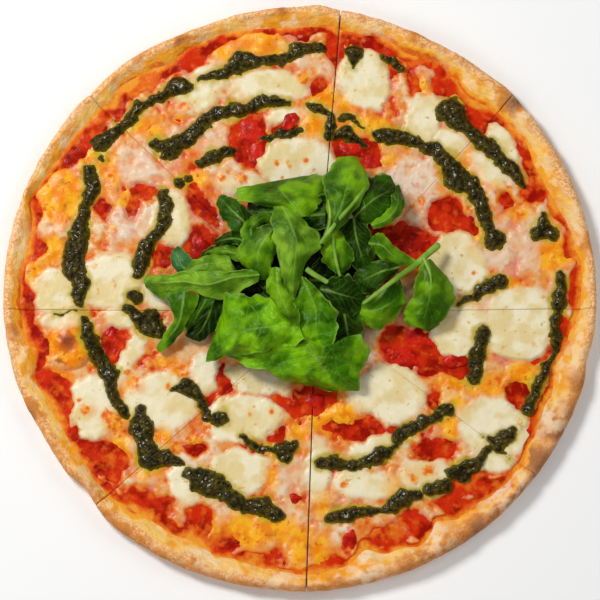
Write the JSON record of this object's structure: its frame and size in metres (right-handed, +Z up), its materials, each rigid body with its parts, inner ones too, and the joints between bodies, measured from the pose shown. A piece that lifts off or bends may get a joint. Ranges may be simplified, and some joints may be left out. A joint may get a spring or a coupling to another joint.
{
  "type": "margherita pizza",
  "caption": "Round thin-crust pizza cut into wedges, with a puffed rim, tomato sauce, melted mozzarella, pesto streaks, tomato pieces and a heap of rocket leaves.",
  "frame": {"origin": "centre of the round underside", "axes": "+Z up out of the toppings, +Y away from the viewer of the picture, +X to the viewer's right"},
  "size_m": [0.3, 0.3, 0.0359],
  "materials": {
    "crust": "baked dough, dry and floury",
    "sauce": "wet tomato sauce",
    "cheese": "melted mozzarella streaked with pesto",
    "tomato": "roasted tomato flesh and skin",
    "rocket": "fresh leaves"
  },
  "bodies": {
    "root": {"crust_1": "crust", "crust_2": "crust", "crust_3": "crust", "crust_4": "crust", "crust_5": "crust", "crust_6": "crust", "crust_7": "crust", "crust_8": "crust", "sauce_1": "sauce", "sauce_2": "sauce", "sauce_3": "sauce", "sauce_4": "sauce", "sauce_5": "sauce", "sauce_6": "sauce", "sauce_7": "sauce", "sauce_8": "sauce", "cheese_1": "cheese", "cheese_2": "cheese", "cheese_3": "cheese", "cheese_4": "cheese", "cheese_5": "cheese", "cheese_6": "cheese", "cheese_7": "cheese", "cheese_8": "cheese", "tomato_1": "tomato", "tomato_2": "tomato", "tomato_3": "tomato", "tomato_4": "tomato", "tomato_5": "tomato", "tomato_6": "tomato", "tomato_7": "tomato", "tomato_8": "tomato", "tomato_9": "tomato", "tomato_10": "tomato", "tomato_11": "tomato", "tomato_12": "tomato", "rocket": "rocket"}
  },
  "joints": []
}
